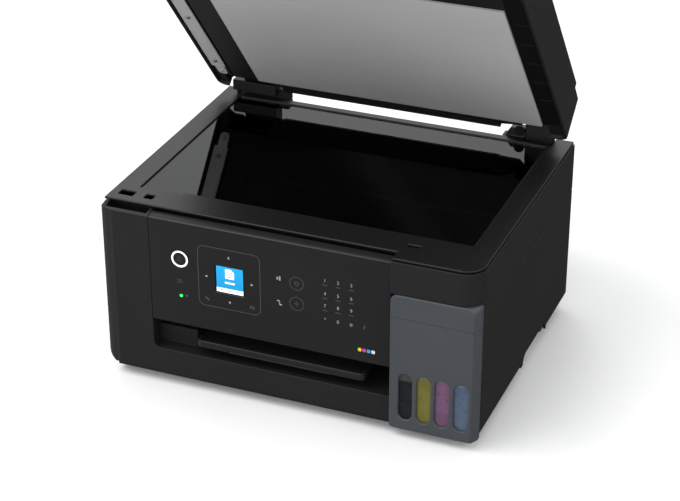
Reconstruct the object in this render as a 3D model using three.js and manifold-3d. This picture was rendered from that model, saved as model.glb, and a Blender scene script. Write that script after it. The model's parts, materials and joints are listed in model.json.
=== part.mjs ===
// Ink-tank multifunction printer with its scanner lid standing open.
// Millimetres, +X to the right, +Y to the back, +Z up, and the floor at z = 0.
// Inside the model, y = 0 is the plane of the front panel. The outer group moves the
// whole object so that its origin is under the middle of its outer box.

import * as THREE from 'three';
import Module from 'manifold-3d';
import { mergeVertices } from 'three/addons/utils/BufferGeometryUtils.js';

const wasm = await Module();
wasm.setup();

// ---------------------------------------------------------------- driving dimensions

const halfWidth = 187.5;      // the body is 375 wide
const bodyDepth = 290.4;      // panel face to rear cover
const frontMost = -4.7;       // face of the tank unit and the block above it
const rearMost = 342;         // back of the rear paper feeder
const wall = 2.5;             // moulded covers
const gap = 0.3;              // between pieces that touch

const splitZ = 132.5;         // lower housing below, scanner unit above
const bezelZ = 182.5;         // underside of the scanner bezel
const bezelTopZ = 185.5;
const lidBottomZ = 187;       // underside of the closed lid
const lidSplitZ = 205;        // lid base below, document feeder above
const lidTopZ = 236.3;
const lidFrontY = 7.3;
const lidRearY = 290.35;

const hingeY = 287.6;         // lid hinge pins
const hingeZ = 219.3;
const lidAngle = 49.7;        // the lid's opening, degrees

const panelLeftX = -137.7;    // the tilting panel covers the paper opening
const panelRightX = 102.9;
const panelBottomZ = 69.9;
const tankLeftX = 103.6;      // grey tank unit
const tankSeamZ = 125.8;      // the hinged tank cover starts here
const tankTopZ = 149.7;
const blockX = 103.6;         // the scanner unit's right front block
const blockRadius = 20;

const rollerZ = 60;           // height of the paper rollers
const feedY = 178;
const exitY = 112;
const gearX = [-172, -166];   // the gear train's plane
const beltY = 175;
const pulleyX = 160;
const pulleyRadius = 5;

const feederLean = 22;        // lean of the rear paper support, degrees
const feederFoot = { y: 306.5, z: 66 };
const feederHalf = 150;

// ---------------------------------------------------------------- materials

const finish = (color, roughness, metalness = 0) =>
  new THREE.MeshStandardMaterial({ color, roughness, metalness });

const black = finish(0x2c2c2d, 0.55);
const panelBlack = finish(0x232324, 0.35);
const dark = finish(0x1c1c1d, 0.7);
const grey = finish(0x505458, 0.5);
const matGrey = finish(0x8a8a8a, 0.8);
const whitePlastic = finish(0xd8d8d4, 0.5);
const steel = finish(0xb4b6b8, 0.35, 0.9);
const rubber = finish(0x1a1a1a, 0.9);
const glass = finish(0x101214, 0.05);
const board = finish(0x1e5a36, 0.6);
const lcd = finish(0x1d86b8, 0.2);
const inkColors = {
  black: finish(0x2a2a2c, 0.3),
  yellow: finish(0x8a7f2e, 0.3),
  magenta: finish(0x7d4a76, 0.3),
  cyan: finish(0x46708e, 0.3),
};

// ---------------------------------------------------------------- geometry helpers

const toSolid = (geometry) => {
  const bare = geometry.clone();
  bare.deleteAttribute('normal');
  bare.deleteAttribute('uv');
  const merged = mergeVertices(bare, 1e-4);
  return new wasm.Manifold(new wasm.Mesh({
    numProp: 3,
    vertProperties: new Float32Array(merged.attributes.position.array),
    triVerts: new Uint32Array(merged.index.array),
  }));
};

const toGeometry = (solid) => {
  const mesh = solid.getMesh();
  const geometry = new THREE.BufferGeometry();
  geometry.setAttribute('position', new THREE.BufferAttribute(mesh.vertProperties, 3));
  geometry.setIndex(new THREE.BufferAttribute(mesh.triVerts, 1));
  geometry.computeVertexNormals();
  return geometry;
};

const combine = (method) => (first, ...others) =>
  toGeometry(others.reduce((solid, other) => solid[method](toSolid(other)), toSolid(first)));
const join = combine('add');
const cut = combine('subtract');
const common = combine('intersect');

const box = (x0, x1, y0, y1, z0, z1) =>
  new THREE.BoxGeometry(x1 - x0, y1 - y0, z1 - z0)
    .translate((x0 + x1) / 2, (y0 + y1) / 2, (z0 + z1) / 2);

const extrude = (shape, depth, curveSegments = 6) =>
  new THREE.ExtrudeGeometry(shape, { depth, bevelEnabled: false, curveSegments });

const polygon = (points) => new THREE.Shape(points.map(([u, v]) => new THREE.Vector2(u, v)));

// An outline in x and y, standing up along z.
const upright = (shape, z0, z1) => extrude(shape, z1 - z0).translate(0, 0, z0);

// An outline in x and z, running along y.
const frontal = (shape, y0, y1) => extrude(shape, y1 - y0).rotateX(Math.PI / 2).translate(0, y1, 0);

// An outline in y and z, running along x.
const sideways = (shape, x0, x1) => {
  const turn = new THREE.Matrix4().makeBasis(
    new THREE.Vector3(0, 1, 0), new THREE.Vector3(0, 0, 1), new THREE.Vector3(1, 0, 0));
  return extrude(shape, x1 - x0).applyMatrix4(turn).translate(x0, 0, 0);
};

// A rectangle with its own radius at each corner: [low-low, high-low, high-high, low-high].
const rounded = (u0, u1, v0, v1, [r1, r2, r3, r4]) => {
  const shape = new THREE.Shape();
  shape.moveTo(u0 + r1, v0);
  shape.lineTo(u1 - r2, v0);
  if (r2) shape.absarc(u1 - r2, v0 + r2, r2, -Math.PI / 2, 0);
  shape.lineTo(u1, v1 - r3);
  if (r3) shape.absarc(u1 - r3, v1 - r3, r3, 0, Math.PI / 2);
  shape.lineTo(u0 + r4, v1);
  if (r4) shape.absarc(u0 + r4, v1 - r4, r4, Math.PI / 2, Math.PI);
  shape.lineTo(u0, v0 + r1);
  if (r1) shape.absarc(u0 + r1, v0 + r1, r1, Math.PI, 1.5 * Math.PI);
  return shape;
};

const rodX = (x0, x1, y, z, radius, sides = 16) =>
  new THREE.CylinderGeometry(radius, radius, x1 - x0, sides)
    .rotateZ(Math.PI / 2).translate((x0 + x1) / 2, y, z);
const rodY = (y0, y1, x, z, radius, sides = 16) =>
  new THREE.CylinderGeometry(radius, radius, y1 - y0, sides).translate(x, (y0 + y1) / 2, z);
const rodZ = (z0, z1, x, y, radius, sides = 16) =>
  new THREE.CylinderGeometry(radius, radius, z1 - z0, sides)
    .rotateX(Math.PI / 2).translate(x, y, (z0 + z1) / 2);

// A spur gear of module 1 in the y-z plane. The teeth are slim, for backlash.
const gear = (teeth, phase, x0, x1, y, z, bore = 0) => {
  const pitch = teeth / 2;
  const step = (2 * Math.PI) / teeth;
  const points = [];
  for (let i = 0; i < teeth; i += 1) {
    const middle = i * step + phase * step;
    const corners = [[-0.26, pitch - 1.1], [-0.09, pitch + 0.7], [0.09, pitch + 0.7], [0.26, pitch - 1.1]];
    for (const [offset, radius] of corners) {
      const angle = middle + offset * step;
      points.push([radius * Math.cos(angle), radius * Math.sin(angle)]);
    }
  }
  const shape = polygon(points);
  if (bore) shape.holes.push(new THREE.Path().absarc(0, 0, bore, 0, 2 * Math.PI, true));
  return sideways(shape, x0, x1).translate(0, y, z);
};

const printer = new THREE.Group();

const place = (group, name, geometry, material) => {
  const mesh = new THREE.Mesh(geometry, material);
  mesh.name = name;
  group.add(mesh);
  return mesh;
};

// ---------------------------------------------------------------- lower housing

const addHousing = () => {
  const inset = halfWidth - 5.5;
  const rim = 2;
  let tray = cut(
    box(-inset, inset, 8, 284, 5, 12.5),
    box(-inset + rim, inset - rim, 8 + rim, 284 - rim, 7.4, 14),
    box(tankLeftX - rim, halfWidth, 0, 98, 7.4, 14));
  for (const x of [-162, 162]) {
    for (const y of [28, 256]) {
      tray = join(tray, rodZ(0, 5.5, x, y, 9, 20));
    }
  }
  place(printer, 'base_tray', tray, black);

  // Lower front: a shell with the paper opening cut out and the bay's left wall and floor behind.
  const frontTop = panelBottomZ - gap;
  const outer = common(
    upright(rounded(-halfWidth, panelRightX, 0, 21.6, [13, 0, 0, 0]), 12.8, frontTop),
    frontal(rounded(-halfWidth, panelRightX, 10.5, 80, [15, 0, 0, 0]), -1, 22));
  const hollow = upright(
    rounded(-halfWidth + wall, panelRightX - wall, wall, 30, [10.5, 0, 0, 0]), 15.3, frontTop - wall);
  const opening = frontal(rounded(panelLeftX, panelRightX + 5, 38.5, 90, [6, 0, 0, 0]), -1, 30);
  const bayWall = box(panelLeftX - wall, panelLeftX, 1, 60, 36, frontTop);
  const bayFloor = box(panelLeftX - wall, panelRightX, 1, 60, 36, 38.5);
  const ledge = box(panelLeftX - 0.5, -99, 16, 58, 38, 56);
  place(printer, 'front_cover', join(cut(outer, hollow, opening), bayWall, bayFloor, ledge), black);

  // Upper front: the rounded left corner with its finger notch, and the wall behind the panel.
  const cornerX = panelLeftX - 0.4;
  const corner = cut(
    upright(rounded(-halfWidth, cornerX, 0, 21.6, [13, 0, 0, 0]), panelBottomZ, 180.9),
    upright(rounded(-halfWidth + wall, cornerX - wall, wall, 30, [10.5, 0, 0, 0]), 60, 178.4),
    box(-183, -141, 3, 30, 170, 190));
  const backWall = box(cornerX - wall, panelRightX, 16, 18.5, 73, 149.4);
  place(printer, 'front_housing', join(corner, backWall), black);

  // Side covers: the lower edge steps down to the table at two short tabs.
  const sideOutline = (frontY) => polygon([
    [frontY, 14], [136, 14], [136, 10.5], [149, 10.5], [149, 14],
    [209, 14], [209, 10.5], [219, 10.5], [219, 14], [bodyDepth, 14],
    [bodyDepth, splitZ - gap], [frontY, splitZ - gap],
  ]);
  place(printer, 'left_side_cover', sideways(sideOutline(21.9), -halfWidth, -halfWidth + wall), black);
  place(printer, 'right_side_cover', sideways(sideOutline(9), halfWidth - wall, halfWidth), black);

  const rear = cut(
    box(-halfWidth + 2.8, halfWidth - 2.8, bodyDepth - wall, bodyDepth, 14, splitZ - gap),
    box(-feederHalf - gap, feederHalf + gap, 280, 300, 61.7, 140),
    box(-172.3, -142.7, 280, 300, 29.7, 51.3),
    box(112, 126, 280, 300, 36, 48));
  place(printer, 'rear_cover', rear, black);
};

// ---------------------------------------------------------------- electronics and pads

const addElectronics = () => {
  let mainBoard = box(178, 179.6, 150, 280, 30, 120);
  for (const [y, z, width, height] of [[170, 60, 24, 24], [210, 90, 34, 14], [240, 50, 18, 30]]) {
    mainBoard = join(mainBoard, box(172, 178.2, y, y + width, z, z + height));
  }
  place(printer, 'main_board', mainBoard, board);

  place(printer, 'power_supply', cut(
    box(-180, -118, 212, 268, 12.8, 56),
    box(-177, -121, 215, 265, 30, 60)), steel);

  // Figure-eight mains inlet: two contacts in a deep socket that opens to the back.
  const body = cut(
    box(-172, -143, 274, bodyDepth, 30, 51),
    frontal(rounded(-169, -146, 34, 47, [6, 6, 6, 6]), 279, 295));
  const pins = [-163, -152].map((x) => rodY(278.5, 287, x, 40.5, 1.4, 8));
  place(printer, 'ac_inlet', join(body, ...pins), dark);

  place(printer, 'maintenance_box', cut(
    box(20, 140, 212, 278, 12.8, 52),
    box(23, 137, 215, 275, 20, 60)), whitePlastic);
};

// ---------------------------------------------------------------- print mechanism

const addMechanism = () => {
  const plate = [[100, 12.8], [205, 12.8], [205, 60], [192, 70], [100, 70]];
  const left = cut(
    sideways(polygon(plate), -163, -161),
    rodX(-170, -150, feedY, rollerZ, 4.6),
    rodX(-170, -150, exitY, rollerZ, 4.6),
    rodX(-170, -150, feedY + 15.6, rollerZ - 20.8, 2.2));
  const right = cut(
    sideways(polygon(plate), 110, 112),
    rodX(100, 120, feedY, rollerZ, 4.6),
    rodX(100, 120, exitY, rollerZ, 4.6));
  const idlerStub = rodX(gearX[0] - 1, -162, (feedY + exitY) / 2, rollerZ, 2.6, 12);
  const crossBar = box(-162, 111, 140, 150, 14, 17);
  place(printer, 'print_chassis', join(left, right, idlerStub, crossBar), steel);

  const rail = polygon([[182, 90], [184, 90], [184, 130], [168, 130], [168, 128], [182, 128]]);
  place(printer, 'carriage_rail', sideways(rail, -184, 171), steel);

  let platen = box(-122, 104, 125, 165, 56, 64);
  for (let x = -110; x <= 92; x += 25.25) {
    platen = join(platen, box(x - 1, x + 1, 127, 163, 63, 67.5));
  }
  place(printer, 'platen', platen, dark);

  const shoe = polygon([
    [118, 84], [166, 84], [166, 100], [181.4, 100], [181.4, 112], [166, 112], [166, 126], [118, 126],
  ]);
  place(printer, 'print_carriage', sideways(shoe, 58, 148), dark);
  place(printer, 'print_head', box(66, 140, 124, 160, 71, 83.7), steel);

  // The belt runs round a pulley at each end, above the carriage's shoe.
  const loop = (radius) => rounded(
    -pulleyX - radius, pulleyX + radius, beltY - radius, beltY + radius, [radius, radius, radius, radius]);
  const beltShape = loop(pulleyRadius + 1.1);
  beltShape.holes.push(new THREE.Path(loop(pulleyRadius + gap).getPoints(6)));
  place(printer, 'carriage_belt', upright(beltShape, 114.5, 120), rubber);
  for (const [name, side] of [['motor_pulley', 1], ['idler_pulley', -1]]) {
    const pulley = join(
      rodZ(114.8, 119.7, side * pulleyX, beltY, pulleyRadius, 20),
      rodZ(106, 123, side * pulleyX, beltY, 1.5, 10));
    place(printer, name, pulley, whitePlastic);
  }
  place(printer, 'carriage_motor', cut(
    rodZ(72, 108, pulleyX, beltY, 6.7, 20),
    rodZ(104, 110, pulleyX, beltY, 2.2, 12)), steel);

  // Feed and exit rollers share a gear train at the left, driven by the feed motor's pinion.
  const roller = (y, radius, from, to) => join(
    rodX(-174, 116, y, rollerZ, 4, 16),
    rodX(from, to, y, rollerZ, radius, 20),
    gear(40, 0, gearX[0], gearX[1], y, rollerZ));
  place(printer, 'feed_roller', roller(feedY, 8.4, -118, 102), rubber);
  place(printer, 'exit_roller', roller(exitY, 6.2, -110, 94), rubber);
  place(printer, 'idler_gear',
    gear(26, 0.5, gearX[0] + 0.5, gearX[1] - 0.5, (feedY + exitY) / 2, rollerZ, 3), whitePlastic);

  // The pinion sits below and behind the feed gear, 26 from its axis.
  const pinionY = feedY + 15.6;
  const pinionZ = rollerZ - 20.8;
  const toPinion = Math.atan2(-20.8, 15.6);
  const feedTooth = toPinion / ((2 * Math.PI) / 40);
  const feedOffset = feedTooth - Math.round(feedTooth);
  const backAngle = toPinion + Math.PI;
  const pinionPhase = backAngle / ((2 * Math.PI) / 12) + 0.5 + feedOffset;
  place(printer, 'motor_pinion', join(
    gear(12, pinionPhase, gearX[0] + 0.5, gearX[1] - 0.5, pinionY, pinionZ),
    rodX(-168, -156, pinionY, pinionZ, 1.6, 12)), whitePlastic);
  place(printer, 'feed_motor', cut(
    rodX(-160.7, -128, pinionY, pinionZ, 13, 24),
    rodX(-162, -154, pinionY, pinionZ, 2.2, 12)), steel);

  place(printer, 'pickup_roller', join(
    rodX(-149, 149, 296, 84, 3, 12),
    rodX(-40, 40, 296, 84, 9, 20)), rubber);
};

// ---------------------------------------------------------------- ink tanks

const tankNames = ['black', 'yellow', 'magenta', 'cyan'];
const windowX = [118.95, 136.8, 154.4, 173.05];
const windowWidth = [14.5, 14.6, 15, 15.5];
const windowZ = [20, 68.5];
const fillerY = 22;
const capHingeY = 38;

const addTanks = () => {
  const face = polygon([
    [tankLeftX, frontMost], [182.5, frontMost], [187.2, 4.8], [187.2, 8.6],
    [184.6, 8.6], [184.6, 96], [tankLeftX, 96],
  ]);
  const inside = polygon([
    [tankLeftX + wall, frontMost + wall], [181, frontMost + wall], [184.4, 4.9], [184.4, 8.5],
    [182.1, 8.5], [182.1, 100], [tankLeftX + wall, 100],
  ]);
  const bottomZ = 7.7;
  const topRound = frontal(
    rounded(tankLeftX - 1, 188, bottomZ, tankTopZ, [7, 7, 5, 7]), -10, 110);
  const windows = windowX.map((x, i) => {
    const half = windowWidth[i] / 2;
    return frontal(rounded(x - half, x + half, ...windowZ, Array(4).fill(half - 0.1)), -10, 0);
  });
  const coverTopZ = 147;
  const doorway = box(tankLeftX - 1, 182.2, -10, frontMost + wall + gap, tankSeamZ - gap, coverTopZ);
  const housing = common(cut(
    join(
      upright(face, bottomZ, tankTopZ),
      box(182.2, 184.6, frontMost + 0.5, 0.2, 100, tankTopZ)),
    upright(inside, bottomZ + wall, coverTopZ + 0.2),
    box(100, 190, 0.2, 8.7, tankSeamZ - gap, 160),
    box(100, 190, 8.6, 100, 110, 160),
    doorway,
    ...windows), topRound);
  place(printer, 'tank_housing', housing, grey);

  const cover = frontal(
    rounded(tankLeftX, 181.9, tankSeamZ, coverTopZ - gap, [0, 0, 4, 2]), frontMost, frontMost + wall);
  place(printer, 'tank_cover', cover, grey);

  tankNames.forEach((name, i) => {
    const x = 118.1 + i * 18;
    const half = 8.6;
    const tank = join(
      box(x - half, x + half, -1.8, 90, 10.6, 108),
      rodZ(107, 116, x, fillerY, 5, 14));
    place(printer, `ink_tank_${name}`, tank, inkColors[name]);
    const cap = join(
      box(x - 7.5, x + 7.5, 14, capHingeY, 116.4, 121.4),
      rodX(x - 7.5, x + 7.5, capHingeY, 118.9, 2.5, 12));
    place(printer, `tank_cap_${name}`, cap, inkColors[name]);
  });
};

// ---------------------------------------------------------------- front panel and output tray

const buttonX = -106.6;
const buttonZ = 140;
const buttonRadius = 8.6;

const addPanel = () => {
  const profile = polygon([
    [0, panelBottomZ], [9.6, panelBottomZ], [9.6, 72.4], [wall, 72.4], [wall, 176.4],
    [9.6, 178], [9.6, 180.6], [3, 179.5], [0, 178],
  ]);
  const panel = cut(
    sideways(profile, panelLeftX, panelRightX),
    rodY(-1, 4, buttonX, buttonZ, buttonRadius + 0.5, 28),
    box(-70.8, -41.4, -1, 4, 112.6, 141.9));
  place(printer, 'control_panel', panel, panelBlack);
  place(printer, 'lcd_screen', box(-70.4, -41.8, 0.2, 5, 113, 141.5), lcd);
  place(printer, 'power_button', join(
    rodY(-0.3, 2.2, buttonX, buttonZ, buttonRadius, 28),
    rodY(2, 6, buttonX, buttonZ, 3, 12)), panelBlack);
};

const addOutputTray = () => {
  const left = -93;
  const right = 77;
  const tray = cut(
    join(
      box(left, right, 2, 116, 50.3, 52.6),
      upright(rounded(left, right, 0.5, 12, [5, 5, 0, 0]), 48.3, 55.5)),
    box(left + 3, right - 3, 3.5, 20, 52.6, 60),
    box(-60.5, 44.5, -1, 20, 40, 50.3));
  place(printer, 'output_tray', tray, black);
  place(printer, 'output_extension', box(-60, 44, 0.8, 94, 47.6, 50), black);
};

// ---------------------------------------------------------------- rear paper feeder

const leanPoint = (along, forward) => {
  const angle = THREE.MathUtils.degToRad(feederLean);
  return [
    feederFoot.y + along * Math.sin(angle) - forward * Math.cos(angle),
    feederFoot.z + along * Math.cos(angle) + forward * Math.sin(angle),
  ];
};

const leaning = (along0, along1, forward0, forward1, x0, x1) => sideways(polygon([
  leanPoint(along0, forward1), leanPoint(along0, forward0),
  leanPoint(along1, forward0), leanPoint(along1, forward1),
]), x0, x1);

const addFeeder = () => {
  const topZ = 147;
  const outline = polygon([
    [290.8, 62], [308.8, 62], [rearMost, topZ - 3.5], [rearMost, topZ], [302, topZ], [290.8, 128],
  ]);
  const inner = polygon([
    [285, 66], [306.5, 66], leanPoint(90, 0), [305, 152], [305, 148], [293.4, 128.5], [293.4, 100], [285, 100],
  ]);
  const feeder = cut(
    sideways(outline, -feederHalf, feederHalf),
    sideways(inner, -feederHalf + wall, feederHalf - wall),
    rodX(-149.3, 149.3, 296, 84, 3.6, 16));
  place(printer, 'rear_feeder', feeder, black);

  place(printer, 'paper_support', leaning(4, 86, 0.5, 2.9, -95, 95), black);
  place(printer, 'edge_guide_left', leaning(40, 80, 3.3, 15, -109, -106.5), black);
  place(printer, 'edge_guide_right', leaning(40, 80, 3.3, 15, 106.5, 109), black);

  const guard = join(
    box(-112, 112, 304, 330, 147.5, 149.3),
    rodX(-112, 112, 304, 148.6, 1.3, 10));
  place(printer, 'feeder_guard', guard, black);
};

// ---------------------------------------------------------------- scanner unit

const glassX = [-165.4, 164.4];
const glassY = [39.6, 268.9];
const throatHalf = 115.5;
const throatY = 278.5;
const posts = { left: [-166, -129], right: [139, 168] };
const postY = 279.3;          // front face of the hinge posts
const shoulderX = { left: -115.8, right: 118 };
const shoulderZ = 194.8;      // raised shoulders between the posts and the paper throat

const scannerOutline = (inset, frontY) => {
  const r = blockRadius - inset;
  const shape = new THREE.Shape();
  shape.moveTo(-halfWidth + inset, frontY + inset);
  shape.lineTo(blockX + inset, frontY + inset);
  shape.lineTo(blockX + inset, frontMost + inset);
  shape.lineTo(halfWidth - blockRadius, frontMost + inset);
  shape.absarc(halfWidth - blockRadius, frontMost + blockRadius, r, -Math.PI / 2, 0);
  shape.lineTo(halfWidth - inset, bodyDepth - inset);
  shape.lineTo(throatHalf + inset, bodyDepth - inset);
  shape.lineTo(throatHalf + inset, throatY - inset);
  shape.lineTo(-throatHalf - inset, throatY - inset);
  shape.lineTo(-throatHalf - inset, bodyDepth - inset);
  shape.lineTo(-halfWidth + inset, bodyDepth - inset);
  return shape;
};

const addScanner = () => {
  const floorZ = 150.3;
  const skirtZ = splitZ + 0.5;
  const tub = cut(
    upright(scannerOutline(0, 22), floorZ, bezelZ - gap),
    upright(scannerOutline(wall, 22), floorZ + wall, 200));
  const skirts = [
    box(-halfWidth, -halfWidth + wall, 22, bodyDepth, skirtZ, 152),
    box(halfWidth - wall, halfWidth, 22, bodyDepth, skirtZ, 152),
    box(halfWidth - wall, halfWidth, 9, 23, skirtZ, floorZ),
    box(-halfWidth, -throatHalf, bodyDepth - wall, bodyDepth, skirtZ, 152),
    box(throatHalf, halfWidth, bodyDepth - wall, bodyDepth, skirtZ, 152),
  ];
  place(printer, 'scanner_case', join(tub, ...skirts), black);

  const shoulders = [
    box(posts.left[1] + 0.4, shoulderX.left, postY + 0.2, bodyDepth, bezelZ, shoulderZ),
    frontal(polygon([
      [shoulderX.right, bezelZ], [posts.right[0] - 0.4, bezelZ], [posts.right[0] - 0.4, shoulderZ],
      [shoulderX.right + 6, shoulderZ], [shoulderX.right, bezelTopZ],
    ]), postY + 0.2, bodyDepth),
  ];
  const bezel = cut(
    join(upright(scannerOutline(0, 10.5), bezelZ, bezelTopZ), ...shoulders),
    box(...glassX, ...glassY, 170, 200),
    box(posts.left[0] - 0.4, posts.left[1] + 0.4, postY - 0.4, 300, 170, 200),
    box(posts.right[0] - 0.4, posts.right[1] + 0.4, 271.5, 300, 170, 200));
  place(printer, 'scanner_bezel', bezel, black);
  place(printer, 'scanner_glass',
    box(glassX[0] + gap, glassX[1] - gap, glassY[0] + gap, glassY[1] - gap, 181, 184), glass);

  const railY = [151, 157];
  place(printer, 'scan_rail', box(-180, 180, ...railY, 153.1, 158), steel);
  const scanCarriage = cut(
    join(box(-156, -132, 46, 262, 162, 178), box(-152, -136, 146, 162, 155, 163)),
    box(-160, -130, railY[0] - 0.5, railY[1] + 0.5, 150, 158.6));
  place(printer, 'scan_carriage', scanCarriage, dark);

  // Each hinge post slides in the case and carries the lid on pins through its round head.
  const postShape = new THREE.Shape();
  postShape.moveTo(postY, 156);
  postShape.lineTo(287.4, 156);
  postShape.lineTo(287.4, 187);
  postShape.lineTo(hingeY + 6, 200);
  postShape.absarc(hingeY, hingeZ, 6, 0, Math.PI);
  postShape.lineTo(postY, 206);
  for (const [side, [a, b]] of Object.entries(posts)) {
    const post = join(
      sideways(postShape, a, b),
      rodX(a - 3, b + 3, hingeY, hingeZ, 1.6, 12));
    place(printer, `hinge_post_${side}`, post, dark);
  }
};

// ---------------------------------------------------------------- lid with document feeder

// The lid's pieces are drawn closed, and the group turns them about the hinge pins.
const lidGroup = () => {
  const pivot = new THREE.Group();
  pivot.position.set(0, hingeY, hingeZ);
  pivot.rotation.x = THREE.MathUtils.degToRad(-lidAngle);
  const drawnClosed = new THREE.Group();
  drawnClosed.position.set(0, -hingeY, -hingeZ);
  pivot.add(drawnClosed);
  printer.add(pivot);
  return drawnClosed;
};

const addLid = () => {
  const lid = lidGroup();
  const outerPlan = rounded(-halfWidth, halfWidth, lidFrontY, lidRearY, [14, 14, 10, 10]);
  const innerPlan = (inset) => rounded(
    -halfWidth + inset, halfWidth - inset, lidFrontY + inset, lidRearY - inset, [12, 12, 8, 8]);
  const notches = Object.values(posts).map(([a, b]) => box(a - 0.5, b + 0.5, 277.35, 300, 180, 226));

  // The base makes room for the posts and shoulders, and its rear rim is open between them.
  const baseFloorZ = 190.2;
  const base = cut(
    upright(outerPlan, lidBottomZ, lidSplitZ),
    upright(innerPlan(3), 180, baseFloorZ),
    upright(innerPlan(wall), baseFloorZ + wall, 210),
    box(posts.left[0] - 0.5, shoulderX.left + 1, 268.5, 300, 180, 210),
    box(shoulderX.right - 1, posts.right[1] + 0.5, 268.5, 300, 180, 210),
    box(shoulderX.left, shoulderX.right, 280, 300, 180, baseFloorZ));
  place(lid, 'lid_base', base, black);
  place(lid, 'document_mat', box(-136, 164.3, 44.7, 267, 187.2, 189.9), matGrey);

  // The feeder's body: outer walls, a floor for the documents, and a lower ledge at the back.
  const ledgeZ = 231.3;
  const profile = polygon([
    [lidFrontY - 1, lidSplitZ + gap], [lidRearY, lidSplitZ + gap], [lidRearY - 1, ledgeZ - 1],
    [lidRearY - 30, ledgeZ], [lidRearY - 31, lidTopZ], [lidFrontY - 1, lidTopZ],
  ]);
  const solid = common(
    sideways(profile, -halfWidth - 1, halfWidth + 1),
    upright(outerPlan, 200, 240));
  const bayY = [10.3, 255];
  const hollowed = cut(solid,
    upright(innerPlan(wall), 200, 211.5),
    box(-184.7, -63, ...bayY, 214, 240),
    box(-60.5, 184.7, ...bayY, 214, 240),
    box(-64, -60, ...bayY, 233.3, 240),
    box(-184.5, 184.5, 257.5, 287.3, 200, 228.6));
  const cheeks = Object.values(posts).map(
    ([a, b]) => box(a - 3.6, b + 3.6, 274.8, 290.1, lidSplitZ + gap, 229));
  const pinBores = Object.values(posts).map(
    ([a, b]) => rodX(a - 3.5, b + 3.5, hingeY, hingeZ, 1.95, 12));
  const body = cut(join(hollowed, ...cheeks), ...notches, ...pinBores);
  place(lid, 'adf_body', body, black);

  const coverZ = [233.6, lidTopZ];
  const coverY = [bayY[0] + gap, bayY[1] - gap];
  place(lid, 'adf_cover', box(-184.4, -62.2, ...coverY, ...coverZ), black);
  place(lid, 'document_tray_cover', box(-61.3, 184.4, ...coverY, ...coverZ), black);

  const bayMiddle = (bayY[0] + bayY[1]) / 2;
  for (const [name, side] of [['adf_guide_front', -1], ['adf_guide_rear', 1]]) {
    const fin = [106, 108.5].map((d) => bayMiddle + side * d).sort((p, q) => p - q);
    const foot = [88, 108.5].map((d) => bayMiddle + side * d).sort((p, q) => p - q);
    place(lid, name, join(
      box(-50, 10, ...fin, 214.3, 230),
      box(-50, 10, ...foot, 214.3, 216.3)), black);
  }
  place(lid, 'adf_feed_roller', join(
    rodY(60, 205, -88, 224, 2.5, 12),
    rodY(110, 155, -88, 224, 8, 20)), rubber);
};

addHousing();
addElectronics();
addMechanism();
addTanks();
addPanel();
addOutputTray();
addFeeder();
addScanner();
addLid();

printer.position.y = -(frontMost + rearMost) / 2;

export default printer;
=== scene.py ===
"""Looks of the ink-tank multifunction printer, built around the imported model.

Everything is drawn in millimetres in the model's own frame, where y = 0 is the face of the control panel.
The lid's pieces are drawn closed. A piece is moved into the row frame, in metres, when it is finished.
"""

import json
import math
from types import SimpleNamespace

import bmesh
import bpy
from mathutils import Matrix, Vector

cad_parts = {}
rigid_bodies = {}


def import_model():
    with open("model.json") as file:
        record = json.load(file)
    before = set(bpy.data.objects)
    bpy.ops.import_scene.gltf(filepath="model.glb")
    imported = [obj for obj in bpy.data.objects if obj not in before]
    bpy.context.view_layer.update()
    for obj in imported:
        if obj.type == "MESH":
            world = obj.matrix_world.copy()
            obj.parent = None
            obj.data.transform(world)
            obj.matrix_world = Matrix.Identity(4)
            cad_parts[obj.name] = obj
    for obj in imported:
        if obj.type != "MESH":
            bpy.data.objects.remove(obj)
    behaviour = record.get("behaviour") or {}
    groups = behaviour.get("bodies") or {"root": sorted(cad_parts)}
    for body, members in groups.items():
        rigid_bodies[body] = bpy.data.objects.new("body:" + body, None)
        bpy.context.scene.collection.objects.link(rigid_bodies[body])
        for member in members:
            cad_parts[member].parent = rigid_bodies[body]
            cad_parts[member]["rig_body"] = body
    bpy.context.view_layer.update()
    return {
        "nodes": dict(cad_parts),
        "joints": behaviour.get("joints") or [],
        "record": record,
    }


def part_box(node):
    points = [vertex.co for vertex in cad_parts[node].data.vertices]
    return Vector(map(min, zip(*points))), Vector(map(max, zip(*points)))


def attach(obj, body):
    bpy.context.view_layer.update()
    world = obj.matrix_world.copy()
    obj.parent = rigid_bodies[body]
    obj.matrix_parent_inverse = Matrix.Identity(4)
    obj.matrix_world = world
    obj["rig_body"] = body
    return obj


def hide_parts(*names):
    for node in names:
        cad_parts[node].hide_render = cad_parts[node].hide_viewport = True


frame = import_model()

# -------------------------------------------------------------------------------- frame and places

MM = 0.001
TO_ROW = Matrix.Translation((0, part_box("control_panel")[0].y, 0)) @ Matrix.Scale(MM, 4)
TO_MODEL = TO_ROW.inverted()
STAY = Matrix()

lid_hinge = next(j for j in frame["joints"] if j["name"] == "lid_hinge")
PIVOT = TO_MODEL @ Vector(lid_hinge["pos_m"])
LID_ANGLE = math.radians(lid_hinge["range_deg"][0])
OPENED = Matrix.Translation(PIVOT) @ Matrix.Rotation(LID_ANGLE, 4, "X") @ Matrix.Translation(-PIVOT)
CLOSED = OPENED.inverted()

SLOT_OF = {part["node"]: part["material_slot"] for part in frame["record"]["subparts"]}


def span(node, turn=STAY):
    """The node's extents in millimetres, as x0, x1, y0, y1, z0, z1."""
    points = [turn @ TO_MODEL @ v.co for v in frame["nodes"][node].data.vertices]
    lows = [min(p[i] for p in points) for i in range(3)]
    highs = [max(p[i] for p in points) for i in range(3)]
    return SimpleNamespace(x0=lows[0], x1=highs[0], y0=lows[1], y1=highs[1], z0=lows[2], z1=highs[2])


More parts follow.
